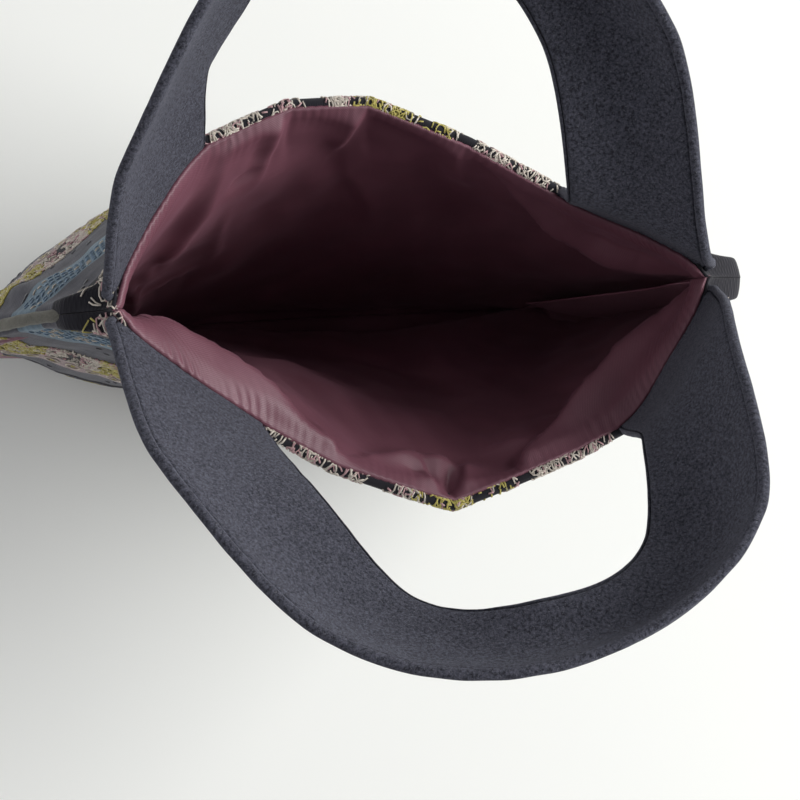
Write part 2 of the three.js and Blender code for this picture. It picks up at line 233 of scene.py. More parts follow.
def seam_x(v):
    return lerp(0, MOUTH_CENTRE_X, smooth(v, 0.6, 1))


def rim_line(side):
    """The rim seen from above: a fine line of points, and the share of its length at each."""
    course = np.array(side["course"], float)
    out = SEAM_HALF_GAP + course[:, 1] * (side["opening"] - SEAM_HALF_GAP)
    points = np.stack([MOUTH_CENTRE_X + (course[:, 0] - 0.5) * MOUTH_WIDTH,
                       MOUTH_CENTRE_Y + side["outward"] * out], -1)
    points = np.vstack([2 * points[0] - points[1], points, 2 * points[-1] - points[-2]])
    gaps = np.sqrt(np.linalg.norm(np.diff(points, axis=0), axis=1))
    fine = []
    for i in range(len(points) - 3):
        p0, p1, p2, p3 = points[i:i + 4]
        g0, g1, g2 = gaps[i:i + 3]
        start = ((p1 - p0) / g0 - (p2 - p0) / (g0 + g1) + (p2 - p1) / g1) * g1
        end = ((p2 - p1) / g1 - (p3 - p1) / (g1 + g2) + (p3 - p2) / g2) * g1
        k = np.linspace(0, 1, 121)[:-1, None]
        fine.append((2 * k**3 - 3 * k**2 + 1) * p1 + (k**3 - 2 * k**2 + k) * start
                    + (3 * k**2 - 2 * k**3) * p2 + (k**3 - k**2) * end)
    fine = np.vstack([*fine, points[-2][None]])
    run = lengths_along(fine)
    return fine, run / run[-1], run[-1]


class Side:
    """One side of the bag: its rim, its wall and its handle's strip, all as functions in mm."""

    def __init__(self, sizes):
        self.label = sizes["label"]
        self.outward = sizes["outward"]
        self.belly = sizes["belly"]
        self.slant = sizes["slant"]
        self.tucks = sizes["tucks"]
        self.folds = sizes["folds"]
        self.fine, self.share, self.rim_length = rim_line(sizes)
        flares = sizes["flares"]
        self.flare = through([(i / (len(flares) - 1), math.radians(f)) for i, f in enumerate(flares)])
        self.depth = through([
            (0, SEWN_GAP), (0.06, FOOT_DEPTH * 0.4), (0.14, FOOT_DEPTH * 1.3),
            (0.28, lerp(FOOT_DEPTH, self.belly, 0.68)),
            (0.5, self.belly), (0.8, self.belly), (1, self.belly)])
        self.lining_depth = through([
            (0, SEWN_GAP), (0.14, FOOT_DEPTH * 0.3), (0.28, FOOT_DEPTH * 0.65),
            (0.5, self.belly * 0.5), (0.8, self.belly * 0.86), (1, self.belly)])
        self.lining_foot = through(sizes["lining_foot"])
        self.leg_share = LEG_FOOT / self.rim_length
        self.outer_line = self.handle_edge(sizes["outer"], 0)
        self.inner_line = self.handle_edge(sizes["inner"], self.leg_share)

    def rim(self, u):
        u = np.clip(u, 0, 1)
        x = np.interp(u, self.share, self.fine[:, 0])
        y = np.interp(u, self.share, self.fine[:, 1])
        return np.stack([x, y, CORNER_HEIGHT - RIM_DIP * np.sin(np.pi * u)], -1)

    def rise(self, u):
        """The direction in which the wall rises at the rim."""
        u = np.clip(u, 0.002, 0.998)
        step = (self.rim(u + 0.002) - self.rim(u - 0.002))[..., :2]
        out = unit(np.stack([-step[..., 1], step[..., 0]], -1)) * self.outward
        lean = self.flare(u)
        return np.concatenate([out * np.sin(lean)[..., None], np.cos(lean)[..., None]], -1)

    def wall(self, u, v, inside=False):
        """The outer face of the panel, u from the left seam to the right one, v from foot to rim.

        The lining, inside, is drawn taut where it has slack: it doesn't follow the panel out to the foot.
        """
        u, v = np.broadcast_arrays(np.asarray(u, float), np.asarray(v, float))
        depth = self.lining_depth if inside else self.depth
        height = lining_height if inside else belly_height
        c = -np.cos(np.pi * u)
        slanted = u**self.slant if self.outward < 0 else 1 - (1 - u)**self.slant
        narrowing = lerp(3.8, 2.3, smooth(v, 0.55, 1)) if inside else 2.3
        fullness = np.clip(np.sin(np.pi * slanted), 0, 1)**narrowing
        edge_gap = lerp(SEWN_GAP, SEAM_HALF_GAP, smooth(v, 0, 0.14))
        body = np.stack([
            seam_x(v) + seam_half_width(v) * c,
            seam_y(v) + self.outward * (edge_gap + depth(v) * fullness),
            lerp(height(v), seam_height(v), np.abs(c)**2.4)], -1)
        drop = (1 - v) * (CORNER_HEIGHT + self.belly * 0.2)
        collar = self.rim(u) - self.rise(u) * drop[..., None]
        share = smooth(v, 0.72, 1) * lerp(1, smooth(v, 0.93, 1), np.abs(c)**4)
        body = lerp(body, collar, share[..., None])
        body[..., 2] = np.maximum(body[..., 2], 0)
        if inside:
            taut = self.taut_lining(u, v)
            slack = self.outward * (body[..., 1] - taut[..., 1])
            body = lerp(body, taut, (TAUT_LINING * smooth(v, 0.1, 0.3) * smooth(slack, -1, 5))[..., None])
        return body

    def taut_lining(self, u, v):
        """Straight lines from the rim down to the lining's bottom line."""
        x = self.lining_foot(u)
        bottom = np.stack([
            x, FOOT_CENTRE_Y + 0 * u, LINING_BOTTOM + LINING_END_RISE * np.abs(x / LINING_FOOT)**4], -1)
        share = np.clip((v - 0.1) / 0.9, 0, 1)
        return lerp(bottom, self.rim(u), share[..., None])

    def taut(self, u, depth):
        """How far the rim is drawn straight between its tucks, a move that fades below the rim."""
        corners = np.array([self.leg_share, *[place for place, _ in self.tucks], 1 - self.leg_share])
        held = self.rim(corners)
        u = np.clip(u, corners[0], corners[-1])
        chord = np.stack([np.interp(u, corners, held[:, axis]) for axis in range(3)], -1)
        return (chord - self.rim(u)) * (TAUTNESS * (1 - smooth(depth, 3, 26)))[..., None]

    def handle_edge(self, knots, foot):
        """A handle edge's course, from its left foot at -1 to its right one at 1."""
        points = [(-1, self.lifted(foot))]
        for along, across, out, up in knots:
            points.append((along, np.array([
                MOUTH_CENTRE_X + (across - 0.5) * MOUTH_WIDTH,
                MOUTH_CENTRE_Y + self.outward * out * HANDLE_REACH,
                CORNER_HEIGHT + up * HANDLE_RISE])))
        points.append((1, self.lifted(1 - foot)))
        return through(points)

    def lifted(self, u):
        return self.rim(u) + self.rise(u) * HANDLE_SEAM_GAP

    def strip(self, along, across):
        """The handle's middle surface before it is hollowed, across 0..1 from inner to outer edge."""
        along, across = np.broadcast_arrays(np.asarray(along, float), np.asarray(across, float))
        foot = self.leg_share * (1 - across)
        place = np.where(along < 0, foot, 1 - foot)
        full = np.where(along < 0, self.leg_share, 1 - self.leg_share)
        none = np.where(along < 0, 0.0, 1.0)
        points = lerp(self.inner_line(along), self.outer_line(along), across[..., None])
        chord = lerp(self.lifted(full), self.lifted(none), across[..., None])
        footing = (np.abs(along)**10)[..., None]
        return points + (self.lifted(place) - chord) * footing


front = Side(FRONT)
back = Side(BACK)
print("rims, mm:", round(front.rim_length, 1), round(back.rim_length, 1))

# %% [markdown]
# ## From grids to meshes
# A piece of cloth is a closed thin shell: an outer grid, an inner grid and the four edges between them. Its
# UV map is in metres of real cloth, so a weave keeps its size wherever the cloth is curved.


# %% Mesh helpers
def make_object(name, points, faces, uv=None):
    """A mesh object from points in mm, faces, and an optional UV in metres for each point."""
    mesh = bpy.data.meshes.new(name)
    mesh.from_pydata((np.asarray(points) * METRE).tolist(), [], faces)
    mesh.polygons.foreach_set("use_smooth", np.ones(len(mesh.polygons), bool))
    if uv is not None:
        corners = np.empty(len(mesh.loops), np.int32)
        mesh.loops.foreach_get("vertex_index", corners)
        layer = mesh.uv_layers.new(name="cloth")
        layer.data.foreach_set("uv", np.asarray(uv)[corners].astype(np.float32).ravel())
    mesh.update()
    piece = bpy.data.objects.new(name, mesh)
    bpy.context.scene.collection.objects.link(piece)
    return piece


def grid_faces(rows, columns, start, turned):
    """Quads of a grid of points that are numbered row by row from start."""
    j, i = np.meshgrid(np.arange(rows - 1), np.arange(columns - 1), indexing="ij")
    a = start + j * columns + i
    quads = np.stack([a, a + 1, a + columns + 1, a + columns], -1).reshape(-1, 4)
    return quads[:, ::-1] if turned else quads


def closed_sheet(name, outer, inner, uv, outward):
    """A closed sheet of cloth between two grids [row, column, xyz]."""
    rows, columns = outer.shape[:2]
    layer = rows * columns
    turned = outward > 0
    faces = [grid_faces(rows, columns, 0, turned), grid_faces(rows, columns, layer, not turned)]
    border = np.concatenate([
        np.arange(columns), np.arange(1, rows) * columns + columns - 1,
        (rows - 1) * columns + np.arange(columns - 2, -1, -1), np.arange(rows - 2, 0, -1) * columns])
    ahead = np.roll(border, -1)
    rim = np.stack([border, border + layer, ahead + layer, ahead], -1)
    faces.append(rim[:, ::-1] if turned else rim)
    points = np.concatenate([outer.reshape(-1, 3), inner.reshape(-1, 3)])
    flat = np.concatenate([uv.reshape(-1, 2)] * 2)
    return make_object(name, points, np.concatenate(faces).tolist(), flat)


def tube_faces(stations, count):
    """Quads of a tube through rings of count points."""
    j, i = np.meshgrid(np.arange(stations - 1), np.arange(count), indexing="ij")
    ahead = (i + 1) % count
    quads = np.stack([j * count + i, j * count + ahead, (j + 1) * count + ahead, (j + 1) * count + i], -1)
    return quads.reshape(-1, 4)


def swept(name, rings, uv):
    """A closed body through rings of points [station, point, xyz], capped at both ends."""
    stations, count = rings.shape[:2]
    faces = tube_faces(stations, count).tolist()
    faces.append(list(range(count))[::-1])
    faces.append([(stations - 1) * count + k for k in range(count)])
    return make_object(name, rings.reshape(-1, 3), faces, uv.reshape(-1, 2))


def finish_piece(piece, node, material):
    """What every cloth piece needs: its material, its body and the CAD node it stands for."""
    piece.data.materials.append(material)
    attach(piece, "root")
    if node:
        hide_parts(node)
    triangles = sum(len(face.vertices) - 2 for face in piece.data.polygons)
    print(piece.name, "triangles", triangles)


# %% [markdown]
# ## Finishes
# Every finish is made from nodes, in real sizes. Colours are written as the eye sees them, from 0 to 255,
# and turned into light values here.


# %% Node helpers
def colour(red, green, blue):
    """A screen colour as the linear values that a shader takes."""
    values = np.array([red, green, blue]) / 255
    linear = np.where(values <= 0.04045, values / 12.92, ((values + 0.055) / 1.055)**2.4)
    return (*linear.tolist(), 1.0)


def new_finish(name, base, roughness, **sockets):
    """A material with its shader's own values set: returns its node tree and shader too."""
    material = bpy.data.materials.new(name)
    material.use_nodes = True
    tree = material.node_tree
    shader = tree.nodes["Principled BSDF"]
    shader.inputs["Base Color"].default_value = base
    shader.inputs["Roughness"].default_value = roughness
    for key, value in sockets.items():
        shader.inputs[key.replace("_", " ")].default_value = value
    return material, tree, shader


def add(tree, kind, inputs=None, **settings):
    """A node with its settings, and its inputs linked or set."""
    made = tree.nodes.new("ShaderNode" + kind)
    for key, value in settings.items():
        setattr(made, key, value)
    for key, value in (inputs or {}).items():
        if isinstance(value, bpy.types.NodeSocket):
            tree.links.new(value, made.inputs[key])
        else:
            made.inputs[key].default_value = value
    return made


def mixed(tree, share, first, second, way="MIX"):
    """Two colours mixed by a share."""
    made = add(tree, "Mix", {0: share, 6: first, 7: second}, data_type="RGBA", blend_type=way)
    return made.outputs[2]


def ramp(tree, value, stops, interpolation="LINEAR"):
    """A value turned into colours: stops are (place, colour)."""
    made = add(tree, "ValToRGB", {0: value})
    made.color_ramp.interpolation = interpolation
    elements = made.color_ramp.elements
    while len(elements) < len(stops):
        elements.new(0.5)
    for element, (place, shade) in zip(elements, stops):
        element.position = place
        element.color = shade
    return made.outputs["Color"]


def overlaid(tree, share, tone, value, dark, light):
    """A colour made darker and lighter by a value, between two greys."""
    greys = ramp(tree, value, [(0.3, (dark, dark, dark, 1)), (0.7, (light, light, light, 1))])
    return mixed(tree, share, tone, greys, "OVERLAY")


def noise(tree, where, scale, detail=3.0, roughness=0.5):
    return add(tree, "TexNoise", {"Vector": where, "Scale": scale, "Detail": detail,
                                  "Roughness": roughness}).outputs["Fac"]


def bump(tree, height, distance, strength=1.0, under=None):
    inputs = {"Height": height, "Distance": distance, "Strength": strength}
    if under is not None:
        inputs["Normal"] = under
    return add(tree, "Bump", inputs).outputs["Normal"]


def dress(tree, shader, tone, *bumps):
    """Links a finish's colour and its bumps, each one (height, distance, strength)."""
    tree.links.new(tone, shader.inputs["Base Color"])
    raised = None
    for height, distance, strength in bumps:
        raised = bump(tree, height, distance, strength, raised)
    tree.links.new(raised, shader.inputs["Normal"])


GREY = [(k, k, k, 1.0) for k in (0.0, 1.0)]

# %% [markdown]
# The lining is a burgundy satin twill. Its ribs run diagonally, half a millimetre apart, and its long
# floats shine across them, so the sheen is soft and wide. One noise makes the cloth's slow colour change, and
# a finer one its slubs.

# %% Satin twill
WAVE_SCALE = 0.314
TWILL_PITCH = 0.00055
WEAVE_PITCH = 0.0009
satin, tree, shader = new_finish(
    "satin_twill", colour(126, 82, 97), 0.43, Sheen_Weight=0.25, Sheen_Roughness=0.4,
    Sheen_Tint=colour(214, 160, 178), Specular_IOR_Level=0.5, Anisotropic=0.4)
cloth_uv = add(tree, "UVMap", uv_map="cloth").outputs["UV"]
turned_uv = add(tree, "Mapping", {"Vector": cloth_uv, "Rotation": (0, 0, math.radians(52))}).outputs["Vector"]
ribs = add(tree, "TexWave", {"Vector": turned_uv, "Scale": WAVE_SCALE / TWILL_PITCH, "Distortion": 0.6,
                             "Detail": 1.0, "Detail Scale": 0.4}).outputs["Fac"]
slow = noise(tree, cloth_uv, 28)
slub = noise(tree, cloth_uv, 900, 2)
tone = ramp(tree, slow, [(0.3, colour(107, 65, 76)), (0.5, colour(118, 74, 85)), (0.72, colour(129, 83, 95))])
tone = mixed(tree, 0.16, tone, ramp(tree, ribs, [(0.25, colour(84, 50, 62)), (0.75, colour(150, 106, 122))]))
dress(tree, shader, tone, (ribs, 0.00008, 0.6), (slub, 0.00005, 0.5))

# %% [markdown]
# The handles are a charcoal moleskin: a dense cotton with a short brushed nap. It is matt, blotchy where
# the nap lies different ways, and catches a grey bloom at its edges, which the sheen gives.

# %% Moleskin
moleskin, tree, shader = new_finish(
    "moleskin", colour(66, 67, 76), 0.95, Sheen_Weight=0.3, Sheen_Roughness=0.45,
    Sheen_Tint=colour(190, 192, 205), Specular_IOR_Level=0.15)
where = add(tree, "TexCoord").outputs["Object"]
blotch = noise(tree, where, 150, 3, 0.55)
nap = noise(tree, where, 950, 5, 0.75)
fleck = noise(tree, where, 2300, 2, 0.6)
tone = ramp(tree, blotch, [(0.32, colour(55, 56, 65)), (0.5, colour(64, 65, 74)), (0.7, colour(74, 75, 85))])
tone = mixed(tree, 0.75, tone, ramp(tree, nap, [(0.38, colour(24, 24, 30)), (0.64, colour(106, 107, 120))]))
light_fleck = ramp(tree, fleck, [(0.62, GREY[0]), (0.72, GREY[1])])
tone = mixed(tree, light_fleck, tone, colour(126, 126, 132))
dress(tree, shader, tone, (blotch, 0.0004, 0.2), (nap, 0.0009, 1.0))

# %% [markdown]
# The outside is an embroidered cotton. Its ground changes in bands round the bag: black, charcoal, a soft
# slate blue and an old rose. Each band's depth below the rim is listed here, with the motif that is worked
# on it, and both the material and the threads read this list. The motifs are plain traditional ones.

# %% Bands of the textile
BLACK = colour(34, 33, 39)
CHARCOAL = colour(88, 88, 95)
SLATE = colour(118, 136, 148)
ROSE = colour(168, 150, 150)
BANDS = [
    (20, BLACK, "tufts"), (11, CHARCOAL, "bare"), (15, SLATE, "hatch"), (16, CHARCOAL, "bare"),
    (22, BLACK, "tufts"), (10, ROSE, "rings"), (24, CHARCOAL, "bare"), (8, BLACK, "rungs"),
    (24, BLACK, "scales"), (20, SLATE, "sprigs"), (9, CHARCOAL, "running"), (12, ROSE, "waves"),
    (22, BLACK, "lattice"), (60, CHARCOAL, "running"),
]
THREADS = dict(yellow=colour(190, 178, 92), cream=colour(214, 204, 190), blue=colour(134, 158, 180),
               rose=colour(190, 150, 152), grey=colour(120, 120, 124))
CLOTH_DEPTH = sum(band[0] for band in BANDS)

textile, tree, shader = new_finish(
    "embroidered_ground", BLACK, 0.9, Sheen_Weight=0.2, Sheen_Roughness=0.5, Specular_IOR_Level=0.2)
cloth_uv = add(tree, "UVMap", uv_map="cloth").outputs["UV"]
parts = add(tree, "SeparateXYZ", {"Vector": cloth_uv})
below = parts.outputs["Y"]
wander = noise(tree, cloth_uv, 60, 2)
edge = add(tree, "Math", {0: wander, 1: 0.002, 2: -0.001}, operation="MULTIPLY_ADD").outputs[0]
depth = add(tree, "Math", {0: below, 1: edge}, operation="ADD").outputs[0]
share = add(tree, "Math", {0: depth, 1: CLOTH_DEPTH * METRE}, operation="DIVIDE").outputs[0]
stops = []
reached = 0.0
for band_depth, ground, _ in BANDS:
    stops.append((reached / CLOTH_DEPTH, ground))
    reached += band_depth
tone = ramp(tree, share, stops, "CONSTANT")
drawn_out = add(tree, "Mapping", {"Vector": cloth_uv, "Scale": (18, 420, 1)}).outputs["Vector"]
stripe = noise(tree, drawn_out, 1, 2)
weft, warp = [
    add(tree, "TexWave", {"Vector": cloth_uv, "Scale": WAVE_SCALE / WEAVE_PITCH},
        bands_direction=way).outputs["Fac"]
    for way in "YX"]
weave = add(tree, "Math", {0: weft, 1: warp}, operation="MULTIPLY").outputs[0]
mottle = noise(tree, cloth_uv, 220, 4, 0.6)
tone = overlaid(tree, 0.5, tone, stripe, 0.3, 0.72)
tone = overlaid(tree, 0.55, tone, mottle, 0.3, 0.7)
dress(tree, shader, tone, (weave, 0.00015, 0.8), (mottle, 0.0003, 0.5))

# %% [markdown]
# The piping is a cord wrapped in a bias strip of grey cotton, finer and plainer than the textile.

# %% Piping finish and thread finish
bias_cotton, tree, shader = new_finish(
    "bias_cotton", colour(124, 122, 108), 0.85, Sheen_Weight=0.2, Specular_IOR_Level=0.25)
where = add(tree, "TexCoord").outputs["Object"]
slow = noise(tree, where, 160, 3)
fine = noise(tree, where, 2400, 2)
tone = ramp(tree, slow, [(0.3, colour(92, 91, 84)), (0.7, colour(112, 110, 100))])
tone = mixed(tree, 0.3, tone, ramp(tree, fine, [(0.35, colour(82, 81, 75)), (0.65, colour(142, 140, 130))]))
dress(tree, shader, tone, (fine, 0.0002, 0.7))

thread_finish, tree, shader = new_finish(
    "embroidery_thread", colour(200, 190, 150), 0.6, Sheen_Weight=0.3, Specular_IOR_Level=0.4)
dye = add(tree, "VertexColor", layer_name="dye").outputs["Color"]
where = add(tree, "TexCoord").outputs["Object"]
fibre = noise(tree, where, 3000, 2)
tone = overlaid(tree, 0.5, dye, fibre, 0.25, 0.75)
dress(tree, shader, tone, (fibre, 0.0002, 0.6))
finishes = (satin, moleskin, textile, bias_cotton, thread_finish)
print("finishes:", [finish.name for finish in finishes])

# %% [markdown]
# ## The panels
# Each panel is a lofted shell that sags: it bulges, and its cloth buckles in soft folds that come down from
# the gathered rim. At the rim it is turned over, so a rolled strip of the textile shows outside the lining,
# and the whole rim stands a little out. A cloth simulation could make the folds, and is the usual way. Here
# they are made by moving the grid's points, to hold the rim and the tucks where the photograph has them.

# %% Panel grid
PANEL_COLUMNS = 240
PANEL_ROWS = 84
RIM_ROLL = 4.2
ROLL_RADIUS = 1.9
RIM_STAND = 3.0
CORNER_BUMPS = (5.0, 9.5)


def cloth_grid(side, columns, rows, inside=False):
    """One side's wall as a grid, with its cloth coordinates in mm: run from the middle, and depth."""
    u = 0.5 - 0.5 * np.cos(np.pi * np.linspace(0, 1, columns))
    u = lerp(np.linspace(0, 1, columns), u, 0.35)
    v = (1 - np.linspace(0, 1, rows)**1.5)[::-1]
    grid_u, grid_v = np.meshgrid(u, v)
    points = side.wall(grid_u, grid_v, inside)
    steps = np.linalg.norm(np.diff(points, axis=1), axis=-1)
    run = np.concatenate([np.zeros((rows, 1)), np.cumsum(steps, axis=1)], axis=1)
    middle = columns // 2
    run = run - run[:, middle:middle + 1]
    up = np.linalg.norm(np.diff(points[:, middle], axis=0), axis=-1)
    height = np.concatenate([[0], np.cumsum(up)])
    depth = np.repeat((height[-1] - height)[:, None], columns, axis=1)
    return grid_u, grid_v, points, run, depth


def tuck_depth(side, u, v):
    """How far the cloth folds in below the rim, at the CAD model's tucks."""
    below = (1 - v) * CORNER_HEIGHT
    total = np.zeros_like(u)
    for place, deep in side.tucks:
        spread = 5.5 + below * 0.16
        total += deep * np.exp(-((u - place) * side.rim_length / spread)**2)
    return total * (1 - smooth(below, 0, 60)) * smooth(below, 0.5, 9)


def closing(side, points, u, v, gap):
    """Brings the cloth of the two sides together along the side seams."""
    near = np.exp(-(from_seam(side, u) / SEAM_REACH)**2) * smooth(v, 0.1, 0.3)
    points[..., 1] = lerp(points[..., 1], seam_y(v) + side.outward * gap, near)
    return points


def fold_height(side, u, v):
    """How far the main folds stand out, as in the CAD model."""
    total = np.zeros_like(u)
    for across, up, half_width, half_height, height in side.folds:
        a = (u - across) * side.rim_length / half_width
        b = (v - up) * CORNER_HEIGHT / half_height
        total += height * np.exp(-a * a - b * b)
    return total * smooth(np.minimum(u, 1 - u), 0.03, 0.13) * smooth((1 - v) * CORNER_HEIGHT, 8, 40)


def from_seam(side, u):
    """How far a place along the rim is from the nearer side seam, in mm."""
    return np.minimum(u, 1 - u) * side.rim_length


def leg_mask(side, u):
    """1 where a handle's foot is sewn to the rim, 0 between the legs."""
    return 1 - smooth(np.minimum(u, 1 - u), side.leg_share - 0.015, side.leg_share + 0.01)


def rounded(depth, radius):
    """How far a face is drawn back near an edge that is rolled to a radius."""
    return radius - np.sqrt(radius**2 - np.clip(radius - depth, 0, radius)**2)


def off_seam(side, points, v, gap):
    """Keeps points on their own side of the seam."""
    past = side.outward * (points[..., 1] - seam_y(v))
    points[..., 1] += side.outward * np.maximum(gap - past, 0)
    return points


# %% [markdown]
# Each panel is its wall moved along its own normals: in at the tucks, out at the folds. Its outer face is
# drawn back near the rim, so that the edge looks rolled.

# %% Panels
panel_shapes = {}
for side in (front, back):
    grid_u, grid_v, points, run, depth = cloth_grid(side, PANEL_COLUMNS, PANEL_ROWS)
    normals = grid_normals(points, side.outward)
    seed = 11 if side.outward < 0 else 23
    away = np.minimum(grid_u, 1 - grid_u)
    seam_away = from_seam(side, grid_u)
    loose = smooth(away, 0, 0.1) * smooth(grid_v, 0.02, 0.25) * (1 - smooth(grid_v, 0.86, 1))
    crumple = 0.55 * ripples(run, depth * 0.7, 30, seed) + 0.3 * ripples(run, depth * 0.8, 12, seed + 2)
    inset = tuck_depth(side, grid_u, grid_v) - fold_height(side, grid_u, grid_v) - crumple * loose
    legs = leg_mask(side, grid_u)
    inset -= RIM_STAND * (1 - smooth(depth, 2, 18)) * smooth(seam_away, 2, 12)
    outer = points - normals * inset[..., None] + side.taut(grid_u, depth)
    outer = closing(side, outer, grid_u, grid_v, SEAM_EDGE)
    corner = np.exp(-(seam_away / 14)**2) * np.exp(-((depth - 14) / 12)**2) * smooth(depth, 0, 7)
    bump_out = np.where(grid_u < 0.5, -CORNER_BUMPS[0], CORNER_BUMPS[1]) * corner
    outer[..., 0] += bump_out
    outer[..., 1] += side.outward * 0.7 * np.abs(bump_out) * smooth(seam_away, 0, 7)
    outer[..., 2] = np.maximum(outer[..., 2], 0.0)
    thick = PANEL_THICKNESS + (RIM_ROLL - PANEL_THICKNESS) * (1 - smooth(depth, 3.0, 9.0)) * (1 - legs)
    drawn = rounded(depth, np.minimum(ROLL_RADIUS, thick * 0.45))
    inner = off_seam(side, outer - normals * (thick - drawn)[..., None], grid_v, SEWN_GAP)
    outer = off_seam(side, outer - normals * drawn[..., None], grid_v, SEWN_GAP)
    inner[..., 2] = np.maximum(inner[..., 2], PANEL_THICKNESS)
    panel_shapes[side.label] = (outer, inner, run, depth)
    uv = np.stack([run, depth], -1) * METRE
    panel = closed_sheet(f"{side.label}_panel_cloth", outer, inner, uv, side.outward)
    finish_piece(panel, f"{side.label}_panel", textile)

# %% [markdown]
# ## The embroidery
# Thick threads are laid on the cloth, so they are real cords here. Each motif is drawn on the flat cloth, in
# millimetres of run and depth, and then laid on the bulging panel: first the row at that depth is found,
# then the place at that distance along it. Every few millimetres a stitch pulls the thread down.

# %% Flat motifs
THREAD_STEP = 1.35
draw = np.random.default_rng(7)


def arc(a, b, radius_a, radius_b, start, end):
    """Part of an ellipse, angles in turns."""
    count = max(4, int(abs(end - start) * 2 * math.pi * max(radius_a, radius_b) / THREAD_STEP) + 1)
    turn = np.linspace(start, end, count) * 2 * math.pi
    return np.stack([a + radius_a * np.cos(turn), b + radius_b * np.sin(turn)], -1)


def stroke(a0, b0, a1, b1):
    count = max(3, int(math.hypot(a1 - a0, b1 - b0) / THREAD_STEP) + 2)
    return np.stack([np.linspace(a0, a1, count), np.linspace(b0, b1, count)], -1)


def wave(a0, a1, b, height, length, phase=0.0):
    a = np.arange(a0, a1, THREAD_STEP)
    return np.stack([a, b + height * np.sin(2 * math.pi * (a / length) + phase)], -1)


def tufts(a0, a1, top, bottom):
    """Couched strokes at all angles, crowded in loose clusters with bare ground between them."""
    a = a0
    while a < a1:
        a += draw.uniform(0.02, 0.11)
        crowd = 0.55 + 0.34 * math.sin(a * 0.31 + 0.8) + 0.34 * math.sin(a * 0.113 + 2.2)
        crowd = 0.95 if abs(a) > 138 else crowd
        if draw.random() > crowd:
            continue
        b = lerp(top, bottom, draw.random()**1.5)
        yellow = math.sin(a * 0.06 + 1.2) > 0.35 or a < -140
        dye = "yellow" if yellow and draw.random() < 0.75 else ("cream" if draw.random() < 0.75 else "rose")
        if draw.random() < 0.12:
            yield dye, arc(a, b, draw.uniform(1.2, 2.0), 1.2, 0, 0.95)
            continue
        half = draw.uniform(0.6, 1.6)
        tilt = draw.uniform(0, math.pi)
        step_a = half * math.cos(tilt)
        step_b = half * math.sin(tilt)
        yield dye, stroke(a - step_a, b - step_b, a + step_a, b + step_b)


def bare(a0, a1, top, bottom):
    """Plain ground with a few short stitches."""
    for _ in range(int((a1 - a0) * 0.12)):
        a = draw.uniform(a0, a1)
        b = draw.uniform(top, bottom)
        yield "grey", stroke(a, b, a + 2.2, b + draw.uniform(-0.8, 0.8))


def hatch(a0, a1, top, bottom):
    """Rows of short close stitches in blue and cream."""
    for row in np.arange(top + 1.5, bottom - 1, 2.4):
        for a in np.arange(a0 + 1, a1 - 2, 2.6):
            dye = "blue" if draw.random() < 0.8 else "cream"
            yield dye, stroke(a, row, a + 1.9, row + draw.uniform(-0.9, 0.9))


def scales(a0, a1, top, bottom):
    """Overlapping arcs, three in each scale."""
    rows = max(1, int((bottom - top - 2) / 7.5))
    for row in range(rows):
        b = top + 8.2 + row * 7.5
        for a in np.arange(a0 + 7 + 6.5 * (row % 2), a1 - 6, 13):
            for radius, dye in ((6.0, "yellow"), (4.1, "cream" if row % 2 else "yellow"), (2.1, "grey")):
                yield dye, arc(a, b, radius * draw.uniform(0.94, 1.04), radius, 0.5, 1.0)


def rungs(a0, a1, top, bottom):
    """A ladder: two rails and short bars."""
    yield "grey", wave(a0, a1, top + 1.2, 0.2, 23)
    yield "grey", wave(a0, a1, bottom - 1.2, 0.2, 19)
    for a in np.arange(a0 + 1.5, a1 - 1, 3.1):
        lean = draw.uniform(-0.4, 0.4)
        yield "blue", stroke(a + lean, top + 2.0, a - lean, bottom - 2.0)


def rings(a0, a1, top, bottom):
    middle = (top + bottom) / 2
    for a in np.arange(a0 + 4, a1 - 4, 8.5):
        yield "cream", arc(a, middle, 3.0, 2.5, 0, 1)
        yield "yellow", arc(a, middle, 0.9, 0.8, 0, 0.9)


def lattice(a0, a1, top, bottom):
    """Diamonds with a small cross in each."""
    rows = max(1, round((bottom - top) / 10))
    high = (bottom - top) / rows
    for row in range(rows):
        b = top + high * row
        for a in np.arange(a0 + 1, a1 - 11, 11):
            for dye, tip in (("yellow", b + 0.8), ("cream", b + high - 0.8)):
                yield dye, stroke(a, b + high / 2, a + 5.5, tip)
                yield dye, stroke(a + 5.5, tip, a + 11, b + high / 2)
            yield "blue", stroke(a + 4.2, b + high / 2, a + 6.8, b + high / 2)


def sprigs(a0, a1, top, bottom):
    """Upright stems with pairs of short leaves."""
    for a in np.arange(a0 + 7, a1 - 6, 12):
        yield "cream", stroke(a, bottom - 1.5, a + draw.uniform(-1, 1), top + 2)
        for k in range(3):
            b = lerp(bottom - 4, top + 5, k / 2.4)
            for hand in (-1, 1):
                yield "yellow", stroke(a, b, a + 4.2 * hand, b - 3.2)


def waves(a0, a1, top, bottom):
    for k, dye in enumerate(("rose", "blue", "cream")):
        yield dye, wave(a0, a1, lerp(top + 2.5, bottom - 2.5, k / 2), 1.1, 11, k * 0.7)


def running(a0, a1, top, bottom):
    """Rows of running stitches."""
    for k, b in enumerate(np.arange(top + 2.5, bottom - 1, 5)):
        for a in np.arange(a0 + 2.5 * (k % 2), a1 - 4, 6):
            yield ("blue" if k % 2 else "grey"), stroke(a, b, a + 3.2, b + draw.uniform(-0.3, 0.3))


MOTIFS = {motif.__name__: motif for motif in (
    tufts, bare, hatch, scales, rungs, rings, lattice, sprigs, waves, running)}

# %% [markdown]
# A thread is a four-sided cord through its path's points. The cords of one side are joined in one mesh with a
# colour at each point, because thousands of objects would be slow to make.

